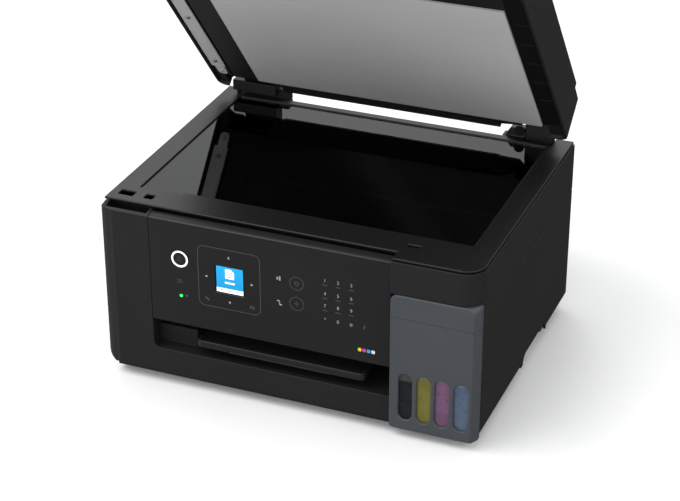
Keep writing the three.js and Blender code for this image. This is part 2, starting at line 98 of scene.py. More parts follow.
PANEL = span("control_panel")
PANEL_COVER = span("front_housing")
BEZEL = span("scanner_bezel")
GLASS = span("scanner_glass")
TANK = span("tank_housing")
DOOR = span("tank_cover")
BUTTON = span("power_button")
SCREEN = span("lcd_screen")
LID = span("lid_base", CLOSED)
FEEDER = span("adf_body", CLOSED)
MAT = span("document_mat", CLOSED)
FEEDER_LID = span("adf_cover", CLOSED)
PAPER_LID = span("document_tray_cover", CLOSED)
POST_LEFT = span("hinge_post_left")
POST_RIGHT = span("hinge_post_right")
HINGE_COVER_X0 = -174.6                                # the left end of the cover round the left hinge post
HINGE_COVER_TOP = 202
BOSS_CENTRES = (POST_LEFT.x1 - 5.5, POST_RIGHT.x0 - 2.5)  # along x
BOSS_Z = 193.2
BOSS_RADIUS = 5.2
BEZEL_TOP = 185.6
LID_FLOOR = 190.2                                      # the lid's underside, round its mat

# -------------------------------------------------------------------------------- camera and stage


def add_camera():
    camera = bpy.data.objects.new("camera", bpy.data.cameras.new("camera"))
    bpy.context.scene.collection.objects.link(camera)
    camera.location = (0.6301, -1.60485, 1.0114)
    yaw, pitch = math.radians(21.87), math.radians(-28.22)
    camera.rotation_euler = (math.pi / 2 + pitch, 0, yaw)
    camera.data.lens = 104.37
    camera.data.clip_start = 0.05
    camera.data.clip_end = 50
    bpy.context.scene.camera = camera


def add_light(name, location, aim, size, power, color=(1, 1, 1)):
    data = bpy.data.lights.new(name, "AREA")
    data.shape = "RECTANGLE"
    data.size, data.size_y = size
    data.energy = power
    data.color = color
    light = bpy.data.objects.new(name, data)
    light.location = location
    light.rotation_euler = (Vector(aim) - Vector(location)).to_track_quat("-Z", "Y").to_euler()
    bpy.context.scene.collection.objects.link(light)


def add_stage():
    world = bpy.data.worlds.new("studio")
    bpy.context.scene.world = world
    world.use_nodes = True
    tree = world.node_tree
    place = tree.nodes.new("ShaderNodeTexCoord")
    axes = tree.nodes.new("ShaderNodeSeparateXYZ")
    tree.links.new(place.outputs["Generated"], axes.inputs["Vector"])

    def ramp(source, start, end, low, high):
        node = tree.nodes.new("ShaderNodeMapRange")
        node.interpolation_type = "SMOOTHSTEP"
        for socket, value in (("From Min", start), ("From Max", end), ("To Min", low), ("To Max", high)):
            node.inputs[socket].default_value = value
        tree.links.new(axes.outputs[source], node.inputs["Value"])
        return node.outputs["Result"]

    # White above, and below the horizon white only on the left: elsewhere the walls mirror a dark studio.
    blend = tree.nodes.new("ShaderNodeMix")
    tree.links.new(ramp("Z", -0.12, 0.12, 0, 1), blend.inputs["Factor"])
    tree.links.new(ramp("X", -0.85, -0.42, 0.95, 0.09), blend.inputs["A"])
    tree.links.new(ramp("X", -0.2, 0.7, 0.95, 0.45), blend.inputs["B"])
    tree.links.new(blend.outputs["Result"], tree.nodes["Background"].inputs["Strength"])
    tree.nodes["Background"].inputs["Color"].default_value = (0.98, 0.99, 1, 1)
    add_light("key", (-1.3, -1.0, 2.3), (0, 0, 0.1), (1.8, 1.8), 36, (1, 0.99, 0.975))
    add_light("back", (-0.4, 2.0, 2.0), (0, 0, 0.15), (2.2, 1.2), 20)
    add_light("front", (0.1, -2.3, 0.9), (0, 0, 0.15), (2.4, 1.2), 17)
    add_light("right", (2.1, -0.6, 1.3), (0, 0, 0.05), (1.6, 1.6), 20)
    bpy.context.scene.view_settings.view_transform = "Standard"

    mesh = bpy.data.meshes.new("floor")
    half = 7
    corners = [(-half, -half, 0), (half, -half, 0), (half, half, 0), (-half, half, 0)]
    mesh.from_pydata(corners, [], [(0, 1, 2, 3)])
    floor = bpy.data.objects.new("floor", mesh)
    bpy.context.scene.collection.objects.link(floor)
    mesh.materials.append(plastic("floor_paper", "f2f2f2", 0.85, variation=0.01, grain=0.004, bump=0.02))
    floor.visible_glossy = False


# --------------------------------------------------------------------------------------- materials


def linear(code):
    """A hex sRGB colour as linear RGBA."""
    channels = [int(code[i:i + 2], 16) / 255 for i in (0, 2, 4)]
    return [c / 12.92 if c <= 0.04045 else ((c + 0.055) / 1.055) ** 2.4 for c in channels] + [1]


class Nodes:
    """A short way to wire a material's nodes."""

    def __init__(self, name):
        self.material = bpy.data.materials.new(name)
        self.material.use_nodes = True
        self.tree = self.material.node_tree
        self.shader = self.tree.nodes["Principled BSDF"]
        self.place = self.add("ShaderNodeTexCoord").outputs["Object"]

    def add(self, kind, **settings):
        node = self.tree.nodes.new(kind)
        for key, value in settings.items():
            setattr(node, key, value)
        return node

    def link(self, source, target):
        self.tree.links.new(source, target)

    def noise(self, size, detail=2.0, stretch=(1, 1, 1)):
        """Noise whose blobs are about size metres across."""
        mapping = self.add("ShaderNodeMapping")
        mapping.inputs["Scale"].default_value = stretch
        self.link(self.place, mapping.inputs["Vector"])
        node = self.add("ShaderNodeTexNoise")
        node.inputs["Scale"].default_value = 1 / size
        node.inputs["Detail"].default_value = detail
        self.link(mapping.outputs["Vector"], node.inputs["Vector"])
        return node.outputs["Fac"]

    def ranged(self, value, low, high, start=0.3, end=0.7):
        node = self.add("ShaderNodeMapRange")
        node.inputs["From Min"].default_value = start
        node.inputs["From Max"].default_value = end
        node.inputs["To Min"].default_value = low
        node.inputs["To Max"].default_value = high
        self.link(value, node.inputs["Value"])
        return node.outputs["Result"]

    def blend(self, factor, first, second):
        node = self.add("ShaderNodeMix", data_type="RGBA")
        self.link(factor, node.inputs["Factor"])
        for socket, color in ((node.inputs["A"], first), (node.inputs["B"], second)):
            if isinstance(color, (list, tuple)):
                socket.default_value = color
            else:
                self.link(color, socket)
        return node.outputs["Result"]

    def bump(self, height, strength, distance):
        node = self.add("ShaderNodeBump")
        node.inputs["Strength"].default_value = strength
        node.inputs["Distance"].default_value = distance
        self.link(height, node.inputs["Height"])
        self.link(node.outputs["Normal"], self.shader.inputs["Normal"])

    def set(self, **values):
        for key, value in values.items():
            self.shader.inputs[key.replace("_", " ")].default_value = value


def shade(color, factor):
    return [min(1, c * factor) for c in color[:3]] + [1]


def plastic(name, code, roughness, variation=0.07, grain=0.0006, bump=0.12, specular=0.5, coat=0.0):
    """Moulded plastic: a fine spark-eroded grain, and slow changes of tone and gloss."""
    m = Nodes(name)
    base = linear(code)
    slow = m.noise(0.09, 3)
    tone = m.blend(m.ranged(slow, 0, 1), shade(base, 1 - variation), shade(base, 1 + variation))
    m.link(tone, m.shader.inputs["Base Color"])
    fine = m.noise(grain, 1)
    m.link(m.ranged(fine, roughness - 0.05, roughness + 0.05), m.shader.inputs["Roughness"])
    m.bump(fine, bump, grain * 0.12)
    m.set(Specular_IOR_Level=specular, Coat_Weight=coat, Coat_Roughness=0.15)
    return m.material


def metal(name, code, roughness, stretch=(1, 1, 1), metallic=1.0):
    """Plated sheet steel or cast alloy, with a rolled or ground direction."""
    m = Nodes(name)
    base = linear(code)
    streaks = m.noise(0.004, 3, stretch)
    tone = m.blend(m.ranged(streaks, 0, 1), shade(base, 0.88), shade(base, 1.08))
    m.link(tone, m.shader.inputs["Base Color"])
    m.link(m.ranged(streaks, roughness - 0.08, roughness + 0.08), m.shader.inputs["Roughness"])
    m.bump(streaks, 0.08, 0.0002)
    m.set(Metallic=metallic)
    return m.material


def shade_tinted_glass(name):
    """The scanner's glass, tinted dark grey as painted shade over the scanner's inside, with faint smudges."""
    m = Nodes(name)
    smudge = m.noise(0.05, 4)
    m.link(m.ranged(smudge, 0.0, 0.035, 0.45, 0.75), m.shader.inputs["Roughness"])
    # The dark grey tint is painted shade: it darkens all that shows through the glass. The smudges vary it a
    # little.
    shade_and_smudge_tint = m.blend(m.ranged(smudge, 0, 1), linear("444847"), linear("4b504e"))
    m.link(shade_and_smudge_tint, m.shader.inputs["Base Color"])
    m.set(Transmission_Weight=1.0, IOR=1.5)
    return m.material


def foam(name, code):
    """The document mat: a pale foam sheet, matte, with a fine pebbled skin."""
    m = Nodes(name)
    base = linear(code)
    pebble = m.noise(0.0012, 2)
    tone = m.blend(m.ranged(m.noise(0.12, 3), 0, 1), shade(base, 0.96), shade(base, 1.04))
    m.link(tone, m.shader.inputs["Base Color"])
    m.link(m.ranged(pebble, 0.62, 0.78), m.shader.inputs["Roughness"])
    m.bump(pebble, 0.15, 0.0002)
    m.set(Specular_IOR_Level=0.3)
    return m.material


def ink_tank(name, ink, empty_and_highlight, level):
    """A translucent tank, seen as its ink up to the level and as a lighter tone above it. In the black tank
    that tone is cloudy plastic; along the top of the colour tanks it is a painted highlight.
    """
    m = Nodes(name)
    axes = m.add("ShaderNodeSeparateXYZ")
    m.link(m.place, axes.inputs["Vector"])
    ripple = m.noise(0.012, 2)
    full = m.ranged(axes.outputs["Z"], 1, 0, (level - 0.4) * MM, (level + 0.4) * MM)
    ink_tone = m.blend(m.ranged(ripple, 0, 1), shade(linear(ink), 0.9), shade(linear(ink), 1.12))
    m.link(m.blend(full, linear(empty_and_highlight), ink_tone), m.shader.inputs["Base Color"])
    m.link(m.ranged(ripple, 0.22, 0.34), m.shader.inputs["Roughness"])
    m.set(Coat_Weight=0.3, Coat_Roughness=0.12)
    return m.material


def glow(name, code, strength, roughness=0.3):
    """A lit mark or lamp behind a thin film."""
    m = Nodes(name)
    grain = m.noise(0.0015, 1)
    color = linear(code)
    tone = m.blend(m.ranged(grain, 0, 1), shade(color, 0.94), shade(color, 1.04))
    m.link(tone, m.shader.inputs["Base Color"])
    m.link(tone, m.shader.inputs["Emission Color"])
    m.link(m.ranged(grain, roughness, roughness + 0.08), m.shader.inputs["Roughness"])
    m.set(Emission_Strength=strength)
    return m.material


def circuit(name):
    """A green circuit board, with tracks a little lighter than the ground."""
    m = Nodes(name)
    tracks = m.noise(0.0035, 0, (1, 4, 1))
    tone = m.blend(m.ranged(tracks, 0, 1, 0.48, 0.52), linear("1b5230"), linear("236b3f"))
    m.link(tone, m.shader.inputs["Base Color"])
    m.link(m.ranged(m.noise(0.002), 0.35, 0.55), m.shader.inputs["Roughness"])
    m.bump(tracks, 0.2, 0.0001)
    return m.material


def display(name, code):
    """The lit picture area: a blue field, lighter towards its top."""
    m = Nodes(name)
    axes = m.add("ShaderNodeSeparateXYZ")
    m.link(m.place, axes.inputs["Vector"])
    rise = m.ranged(axes.outputs["Z"], 0, 1, SCREEN.z0 * MM, SCREEN.z1 * MM)
    base = linear(code)
    tone = m.blend(rise, shade(base, 0.85), shade(base, 1.15))
    m.link(tone, m.shader.inputs["Base Color"])
    m.link(tone, m.shader.inputs["Emission Color"])
    m.link(m.ranged(m.noise(0.02), 0.12, 0.2), m.shader.inputs["Roughness"])
    m.set(Emission_Strength=0.55)
    return m.material


SHELL = plastic("black_shell", "1c1c1d", 0.45, specular=0.3)
PANEL_BLACK = plastic("panel_black", "1d1d1e", 0.34, bump=0.05, specular=0.35)
# The bezel's black is darker than the shell's and the panel's, so the top faces read darker than the front. The
# difference is painted shade.
SHADED_BEZEL_BLACK = plastic("bezel_black_painted_shade", "161617", 0.4, specular=0.3)
DARK = plastic("dark_plastic", "0d0d0e", 0.6, specular=0.2)
GREY = plastic("grey_shell", "3d4044", 0.45, variation=0.04, specular=0.35)
MAT_FOAM = foam("document_mat", "9a9a9a")
WHITE = plastic("white_plastic", "cfcfca", 0.45)
# The feeder plate is only 0.3 metallic, so its light grey shows as diffuse colour: a painted reflection of the
# bright room that plated steel would mirror.
PLATE_PAINTED_BRIGHT = metal("plated_sheet_painted_reflection", "b4b4b4", 0.4, (1, 12, 1), 0.3)
STEEL = metal("steel", "c2c4c6", 0.32, (1, 12, 1))
MOTOR = metal("motor_case", "a8aaac", 0.38)
RUBBER = plastic("rubber", "151515", 0.85, specular=0.25, grain=0.0009, bump=0.3)
CLEAR = shade_tinted_glass("glass")
BOARD = circuit("circuit_board")
LCD_GLASS = plastic("lcd_glass", "0a0a0c", 0.12, bump=0.0, coat=0.5)
LCD = display("lcd", "1c86ba")
PRINT = plastic("white_print", "8c8c8c", 0.5, variation=0.05, bump=0.0)
FAINT_PRINT = plastic("grey_print", "3d3d3e", 0.5, variation=0.05, bump=0.0)
RING = glow("power_ring", "f4f4f4", 0.55)
LED = glow("green_lamp", "30e060", 2.2)
PICTURE = glow("screen_white", "d8ecf6", 0.75)
INKS = {
    # The colour tanks' level sits 2.5 mm under their windows' top, so the lighter band left there is a painted
    # highlight. The black tank's level at 60 is its real ink level.
    "black": ink_tank("ink_black", "191a1b", "3c3d3d", 60),
    "yellow": ink_tank("ink_yellow", "66612a", "74745f", 66),
    "magenta": ink_tank("ink_magenta", "654762", "6d636c", 66),
    "cyan": ink_tank("ink_cyan", "485669", "697178", 66),
}
MATERIAL_OF = {
    "black_shell": SHELL, "panel_black": PANEL_BLACK, "dark_plastic": DARK, "grey_shell": GREY,
    "document_mat": MAT_FOAM, "white_plastic": WHITE, "steel": STEEL, "motor_case": MOTOR, "rubber": RUBBER,
    "glass": CLEAR, "circuit_board": BOARD, "lcd": LCD,
    **{f"ink_{name}": material for name, material in INKS.items()},
}

# ------------------------------------------------------------------------------------------ solids


def place_2d(points, at, axis):
    """Points of an outline, set at a distance along an axis."""
    if axis == "x":
        return [(at, u, v) for u, v in points]
    if axis == "y":
        return [(u, at, v) for u, v in points]
    return [(u, v, at) for u, v in points]


def as_object(bm):
    mesh = bpy.data.meshes.new("solid")
    bm.to_mesh(mesh)
    bm.free()
    obj = bpy.data.objects.new("solid", mesh)
    bpy.context.scene.collection.objects.link(obj)
    return obj


def loft(sections, axis):
    """A closed body through outlines, each given with its place along the axis."""
    bm = bmesh.new()
    rings = [[bm.verts.new(p) for p in place_2d(outline, at, axis)] for outline, at in sections]
    for near, far in zip(rings, rings[1:]):
        for i in range(len(near)):
            j = (i + 1) % len(near)
            bm.faces.new((near[i], near[j], far[j], far[i]))
    bm.faces.new(rings[0])
    bm.faces.new(rings[-1])
    bmesh.ops.recalc_face_normals(bm, faces=bm.faces)
    return as_object(bm)


def prism(outline, low, high, axis):
    return loft([(outline, low), (outline, high)], axis)


def block(x0, x1, y0, y1, z0, z1):
    return prism([(x0, y0), (x1, y0), (x1, y1), (x0, y1)], z0, z1, "z")


def circle(u, v, radius, steps=32):
    turns = [2 * math.pi * i / steps for i in range(steps)]
    return [(u + radius * math.cos(t), v + radius * math.sin(t)) for t in turns]


def rounded(u0, u1, v0, v1, radii, steps=8):
    """A rectangle with a radius at each corner: low-low, high-low, high-high, low-high."""
    if isinstance(radii, (int, float)):
        radii = [radii] * 4
    corners = [(u0, v0, 1, 1), (u1, v0, -1, 1), (u1, v1, -1, -1), (u0, v1, 1, -1)]
    points = []
    for i, ((u, v, du, dv), radius) in enumerate(zip(corners, radii)):
        start = math.pi + i * math.pi / 2
        r = max(radius, 0.01)
        for k in range(steps + 1):
            t = start + math.pi / 2 * k / steps
            points.append((u + du * r + r * math.cos(t), v + dv * r + r * math.sin(t)))
    return points


def drop(*objects):
    for obj in objects:
        mesh = obj.data
        bpy.data.objects.remove(obj)
        bpy.data.meshes.remove(mesh)


def boolean(target, tools, operation):
    """Joins, cuts or intersects target with the tools, which are used up."""
    for tool in tools:
        modifier = target.modifiers.new("boolean", "BOOLEAN")
        modifier.operation = operation
        modifier.solver = "EXACT"
        modifier.object = tool
    view = bpy.context.evaluated_depsgraph_get()
    mesh = bpy.data.meshes.new_from_object(target.evaluated_get(view))
    old = target.data
    target.modifiers.clear()
    target.data = mesh
    bpy.data.meshes.remove(old)
    drop(*tools)
    return target


def cut(target, *tools):
    return boolean(target, tools, "DIFFERENCE")


def join(target, *tools):
    return boolean(target, tools, "UNION")


def common(target, *tools):
    return boolean(target, tools, "INTERSECT")


def merge(*objects):
    """Several separate solids as one object, with no boolean."""
    bm = bmesh.new()
    for obj in objects:
        bm.from_mesh(obj.data)
    drop(*objects)
    return as_object(bm)


def cad_copy(node, turn=STAY):
    """The node's shape in millimetres, with its flat faces made whole."""
    source = frame["nodes"][node].data
    bm = bmesh.new()
    verts = [bm.verts.new(turn @ TO_MODEL @ v.co) for v in source.vertices]
    for polygon in source.polygons:
        try:
            bm.faces.new([verts[i] for i in polygon.vertices])
        except ValueError:
            pass
    tidy(bm)
    return as_object(bm)


def tidy(bm):
    bmesh.ops.remove_doubles(bm, verts=bm.verts, dist=0.002)
    bmesh.ops.dissolve_limit(bm, angle_limit=math.radians(0.8), verts=bm.verts, edges=bm.edges)
    bmesh.ops.recalc_face_normals(bm, faces=bm.faces)


SHARP = math.radians(28)           # an edge that turns more than this is rounded
STRAIGHT_ON = math.radians(150)    # a neighbour that turns less than 30 degrees carries the same edge on
ROOM_SHARE = 0.42                  # the most of a neighbouring edge that a rounding may take
LEAST_ROUNDING = 0.04


def weigh_edges(bm, width):
    """Marks each sharp edge with the share of the rounding that fits between its neighbours."""
    layer = bm.edges.layers.float.new("bevel_weight_edge")
    for edge in bm.edges:
        if len(edge.link_faces) != 2 or edge.calc_face_angle(0) < SHARP:
            continue
        room = width
        for vert in edge.verts:
            along = edge.other_vert(vert).co - vert.co
            for other in vert.link_edges:
                away = other.other_vert(vert).co - vert.co
                if other == edge or away.length < 1e-4 or along.length < 1e-4:
                    continue
                turn = along.angle(away)
                if turn < STRAIGHT_ON:
                    room = min(room, ROOM_SHARE * away.length * math.sin(turn))
        if room > LEAST_ROUNDING:
            edge[layer] = room / width
        else:
            edge.smooth = False


def piece(obj, name, body, material, edge=0.5, segments=2, replaces=(), turn=STAY):
    """Rounds a solid's edges, moves it to the row frame, and sets what it rides on and what it looks like."""
    bm = bmesh.new()
    bm.from_mesh(obj.data)
    tidy(bm)
    for face in bm.faces:
        face.smooth = True
    weigh_edges(bm, edge)
    bm.to_mesh(obj.data)
    bm.free()
    obj.data.transform(TO_ROW @ turn)
    obj.name = obj.data.name = name
    obj.data.materials.clear()
    obj.data.materials.append(material)
    bevel = obj.modifiers.new("rounding", "BEVEL")
    bevel.limit_method = "WEIGHT"
    bevel.width = edge * MM
    bevel.segments = segments
    bevel.use_clamp_overlap = False
    normals = obj.modifiers.new("normals", "WEIGHTED_NORMAL")
    normals.keep_sharp = True
    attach(obj, body)
    if replaces:
        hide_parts(*replaces)
    return obj


def from_node(node, name, edge, solid=None, material=None, segments=2, turn=STAY):
    """A finer piece that stands for a CAD node, on its body and with its slot's material."""
    body = frame["nodes"][node]["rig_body"]
    slot = SLOT_OF[node]
    return piece(solid or cad_copy(node), name, body, material or MATERIAL_OF[slot], edge,
                 segments, [node], turn)


def screw(x, y, z, axis, facing, radius=3.2):
    """A pan-head screw with a cross recess, whose head faces + or - along the axis."""
    u, v, at = {"x": (y, z, x), "y": (x, z, y), "z": (x, y, z)}[axis]
    head = loft([(circle(u, v, radius, 24), at), (circle(u, v, radius, 24), at + facing * 0.5),
                 (circle(u, v, radius * 0.72, 24), at + facing * 1.3)], axis)
    arm, half = radius * 0.5, 0.35
    wide = rounded(u - arm, u + arm, v - half, v + half, 0.1, 2)
    tall = rounded(u - half, u + half, v - arm, v + arm, 0.1, 2)
    low, high = sorted((at + facing * 0.5, at + facing * 2))
    return cut(head, prism(wide, low, high, axis), prism(tall, low, high, axis))


# ------------------------------------------------------------------------------------------ covers

def add_covers():
    """The plain moulded covers keep their CAD shape and get rounded edges."""
    names = {
        "left_side_cover": ("left_cover", 0.8),
        "rear_feeder": ("paper_feeder", 0.7), "paper_support": ("paper_rest", 0.6),
        "edge_guide_left": ("paper_guide_left", 0.5), "edge_guide_right": ("paper_guide_right", 0.5),
        "feeder_guard": ("feeder_flap", 0.5), "output_tray": ("output_tray_plate", 0.8),
        "output_extension": ("output_tray_extension", 0.6), "scanner_case": ("scanner_tub", 0.5),
        "adf_guide_front": ("document_guide_front", 0.5),
        "adf_guide_rear": ("document_guide_rear", 0.5), "platen": ("print_platen", 0.3),
    }
    for node, (name, edge) in names.items():
        from_node(node, name, edge)


def soft_corner():
    """The plan of the front's left corner, filled out to a shallow curve."""
    width, depth, inner = 20.5, 3.2, 12
    left = PANEL_COVER.x0
    outer = [(left + width - width * math.sin(t), depth - depth * math.cos(t))
             for t in [math.pi / 2 * k / 12 for k in range(13)]]
    back = [(left + 13 - inner * math.cos(t), 13 - inner * math.sin(t))
            for t in [math.pi / 2 * k / 8 for k in range(9)]]
    return outer + [(left, 21.6), (left + 1, 21.6)] + back


def add_front():
    """The lower front and the upper left corner, whose side curves in softly and whose top edge is bevelled."""
    lower = span("front_cover")
    round_foot = prism(rounded(PANEL_COVER.x0, 0, lower.z0 - 2.3, 200, [15, 0, 0, 0]), -1, 30, "y")
    wedge = common(prism(soft_corner(), lower.z0, lower.z1, "z"), round_foot)
    from_node("front_cover", "lower_front", 0.4, join(cad_copy("front_cover"), wedge))
    finger_notch = block(-183, -141, 3, 30, 170, 190)
    wedge = cut(prism(soft_corner(), PANEL_COVER.z0, PANEL_COVER.z1, "z"), finger_notch)
    slope = [(-2, 178), (0, 178), (3, 179.5), (9.6, 180.6), (9.6, 190), (-2, 190)]
    corner = cut(join(cad_copy("front_housing"), wedge), prism(slope, -190, PANEL.x0 - 0.2, "x"))
    from_node("front_housing", "upper_front_corner", 0.2, corner)


def grip_recess(x0, x1):
    """The space over a shallow hand grip in the right side's lower edge."""
    low, high, start, end, run = 0, 20.4, 147, 212, 7
    curve = [(run, low), (run * 0.6, 14.6), (run * 0.3, 17.6), (0, 19.6), (-4, high)]  # outward, and up
    outline = [(start - out, z) for out, z in curve] + [(end + out, z) for out, z in reversed(curve)]
    return prism(outline, x0, x1, "x")


def add_base():
    """The base tray, with rubber pads under its four feet, and the right cover with its hand grip."""
    right = span("right_side_cover")
    side = cut(cad_copy("right_side_cover"), grip_recess(right.x0 - 1, right.x1 + 1))
    from_node("right_side_cover", "right_cover", 0.6, side)
    pad_z, pad_radius = 1.6, 8.2
    feet = [(x, y) for x in (-162, 162) for y in (28, 256)]
    tray = cut(cad_copy("base_tray"), grip_recess(174, 200),
               *[block(x - 12, x + 12, y - 12, y + 12, -1, pad_z) for x, y in feet])
    from_node("base_tray", "base_plate", 0.8, tray)
    pads = [
        loft([(circle(x, y, pad_radius - 0.7, 36), 0), (circle(x, y, pad_radius, 36), 0.7),
              (circle(x, y, pad_radius, 36), pad_z - 0.02)], "z")
        for x, y in feet
    ]
    piece(merge(*pads), "foot_pads", "housing", RUBBER, 0.2)


def add_rear_cover():
    """The rear cover, with cooling slots beside the power supply and screws at its corners."""
    rear = span("rear_cover")
    slots = [
        prism(rounded(x, x + 2.2, 70, 108, 1.05, 4), rear.y0 - 2, rear.y1 + 2, "y")
        for x in range(-180, -155, 5)
    ]
    from_node("rear_cover", "back_cover", 0.6, cut(cad_copy("rear_cover"), *slots))
    places = [(-178, 122), (178, 122), (-178, 22), (178, 22)]
    screws = [screw(x, rear.y1 - 1.0, z, "y", 1) for x, z in places]
    piece(merge(*screws), "rear_screws", "housing", STEEL, 0.1)
    from_node("ac_inlet", "mains_inlet", 0.4)


# ------------------------------------------------------------------------------------ scanner unit

def scanner_outline(inset):
    """The bezel's plan: a step at the raised block, a round right corner, and a paper throat at the rear."""
    block_x = PANEL.x1 + 0.7
    radius = 20 - inset
    centre = (BEZEL.x1 - 20, BEZEL.y0 + 20)
    throat_x, throat_y, front = 115.5, 278.5, 9.6
    points = [(BEZEL.x0, front), (block_x + inset, front),
              (block_x + inset, BEZEL.y0 + inset)]
    for k in range(13):
        t = -math.pi / 2 + math.pi / 2 * k / 12
        points.append((centre[0] + radius * math.cos(t), centre[1] + radius * math.sin(t)))
    points += [(BEZEL.x1 - inset, BEZEL.y1 - inset), (throat_x + inset, BEZEL.y1 - inset),
               (throat_x + inset, throat_y - inset), (-throat_x - inset, throat_y - inset),
               (-throat_x - inset, BEZEL.y1 - inset), (BEZEL.x0, BEZEL.y1 - inset)]
    return points


def add_scanner():
    """The bezel round the glass, with its stepped opening, catches' holes and hinge shoulders."""
    plate_z = 182.9
    top_z = GLASS.z1 + 1.5
    bezel = prism(scanner_outline(0.9), plate_z, top_z, "z")
    shoulders = common(cad_copy("scanner_bezel"), block(-130, 140, 279.45, 300, plate_z, 200))
    step_x = -121.5
    post_play = 2.6
    openings = [
        block(GLASS.x0, step_x, GLASS.y0, GLASS.y1, 180, 190),
        block(step_x - 1, GLASS.x1, GLASS.y0 + 4.3, GLASS.y1, 180, 190),
        block(POST_LEFT.x0 + post_play, POST_LEFT.x1 - post_play, POST_LEFT.y0 - 0.4, 300, 170, 200),
        block(POST_RIGHT.x0 + post_play, POST_RIGHT.x1 - post_play, 271.5, 300, 170, 200),
        prism(rounded(-178.3, -163.7, 20, 29.5, 1), 180, 190, "z"),
        prism(rounded(-152, -143.6, 20.5, 29.3, 1), 180, 190, "z"),
        prism(rounded(108.4, 121.2, 22, 26.2, 0.8), 180, 190, "z"),
    ]
    bezel = cut(join(bezel, shoulders), *openings)
    from_node("scanner_bezel", "glass_bezel", 1.0, bezel, SHADED_BEZEL_BLACK, segments=3)
    from_node("scanner_glass", "platen_glass", 0.3)

    # The page's corner is marked by a small triangle, raised a little.
    x, y = GLASS.x1 + 2, GLASS.y0 - 4
    mark = prism([(x, y + 3), (x + 7, y + 1), (x + 3, y - 3)], top_z - 0.1, top_z + 0.08, "z")
    piece(mark, "corner_mark", "scanner_unit", DARK, 0.1)
    add_hinges()


def add_hinges():
    """The hinge posts, the round bosses beside them, and the cover round the left post."""
    bosses = [prism(circle(x, BOSS_Z, BOSS_RADIUS), 276.8, 279.7, "y") for x in BOSS_CENTRES]
    piece(merge(*bosses), "hinge_bosses", "scanner_unit", DARK, 0.8)
    gap = 0.05
    cover = merge(
        block(HINGE_COVER_X0, POST_LEFT.x1 - 0.6, 270, POST_LEFT.y0 - gap, 190.6, HINGE_COVER_TOP),
        block(HINGE_COVER_X0, POST_LEFT.x0 - gap, 279, 290.2, BEZEL_TOP, HINGE_COVER_TOP))
    piece(cover, "hinge_cover", "hinge_posts", SHADED_BEZEL_BLACK, 0.8)
    for side in ("left", "right"):
        from_node(f"hinge_post_{side}", f"hinge_arm_{side}", 1.0, material=SHADED_BEZEL_BLACK)


# --------------------------------------------------------------------------------------- ink tanks

def tank_form():
    """The tank unit's outer form: a flat face, a slanted right flank, and a squarer outer corner at the top."""
    left, top, bottom, front = TANK.x0, TANK.z1, TANK.z0, TANK.y0
    flank_end, back = 4.8, 8.6
    return loft([
        (rounded(left + 0.4, 182.3, bottom + 2.8, top - 1.5, [3, 2.5, 9, 7]), front),
        (rounded(left, 182.9, bottom + 1.9, top - 0.3, [3, 2.5, 8, 7.5]), front + 0.7),
        (rounded(left, 184.0, bottom, top, [3, 3, 6.5, 7.5]), front + 3),
        (rounded(left, 187.2, bottom, top, [3, 3, 2.5, 7.5]), flank_end),
        (rounded(left, 187.2, bottom, top, [3, 3, 2.5, 7.5]), back),
    ], "y")


WINDOWS = [(118.95, 13), (136.7, 13.1), (154.2, 13.4), (172.6, 13.8)]  # centres and widths
WINDOW_Z = (20, 68.5)


def window_cutter(x, width):
    """The space of one window, wider at the face."""
    half = width / 2
    rim, z0, z1 = 0.8, *WINDOW_Z
    outer = rounded(x - half - rim, x + half + rim, z0 - rim, z1 + rim, half + rim - 0.1, 10)
    inner = rounded(x - half, x + half, z0, z1, half - 0.1, 10)
    return loft([(outer, TANK.y0 - 0.01), (inner, TANK.y0 + 1.3), (inner, TANK.y0 + 4)], "y")


def add_tanks():
    """The tank unit's housing and door, cut from one form at the seam, and its tanks and caps."""
    seam, wall = DOOR.z0, 2.5
    hollow_plan = [(TANK.x0 + wall, TANK.y0 + wall), (181, TANK.y0 + wall), (184.4, 4.9), (184.4, 20),
                   (TANK.x0 + wall, 20)]
    housing = cut(tank_form(),
                  prism(hollow_plan, TANK.z0 + wall, TANK.z1 - wall, "z"),
                  block(100, 190, -10, 4.8, seam - 0.3, 160),
                  *[window_cutter(x, width) for x, width in WINDOWS])
    rear = common(cad_copy("tank_housing"), block(100, 190, 8.6, 100, 0, 160))
    from_node("tank_housing", "tank_front", 0.6, merge(housing, rear), segments=3)
    door = cut(common(tank_form(), block(100, 190, -10, 4.6, seam, 160)),
               prism(hollow_plan, seam - 1, TANK.z1 - wall, "z"))
    from_node("tank_cover", "tank_door", 0.35, door, segments=3)

    drop_turns = [math.pi * (0.75 + 1.5 * k / 10) for k in range(11)]
    drop_z, drop_tip = 73.6, 76.2
    drops = []
    for x, _ in WINDOWS:
        outline = [(x + math.cos(t), drop_z + math.sin(t)) for t in drop_turns] + [(x, drop_tip)]
        drops.append(prism(outline, TANK.y0 - 0.05, TANK.y0 + 0.1, "y"))
    piece(merge(*drops), "tank_marks", "housing", FAINT_PRINT, 0.05)

    for name, material in INKS.items():
        from_node(f"ink_tank_{name}", f"tank_{name}", 1.2, material=material, segments=3)
        from_node(f"tank_cap_{name}", f"cap_{name}", 0.8, material=material)


# ----------------------------------------------------------------------------------- control panel

FACE = PANEL.y0


def printed(outline):
    """A mark printed on the panel's face."""
    return prism(outline, FACE - 0.06, FACE + 0.05, "y")


def ring_mark(x, z, radius, line, lift=0.06, front=FACE):
    band = prism(circle(x, z, radius, 48), front - lift, front + 0.05, "y")
    return cut(band, prism(circle(x, z, radius - line, 48), front - 2, front + 2, "y"))


def bar(x, z, width, height):
    radius = min(width, height) * 0.3
    return printed(rounded(x - width / 2, x + width / 2, z - height / 2, z + height / 2, radius, 3))


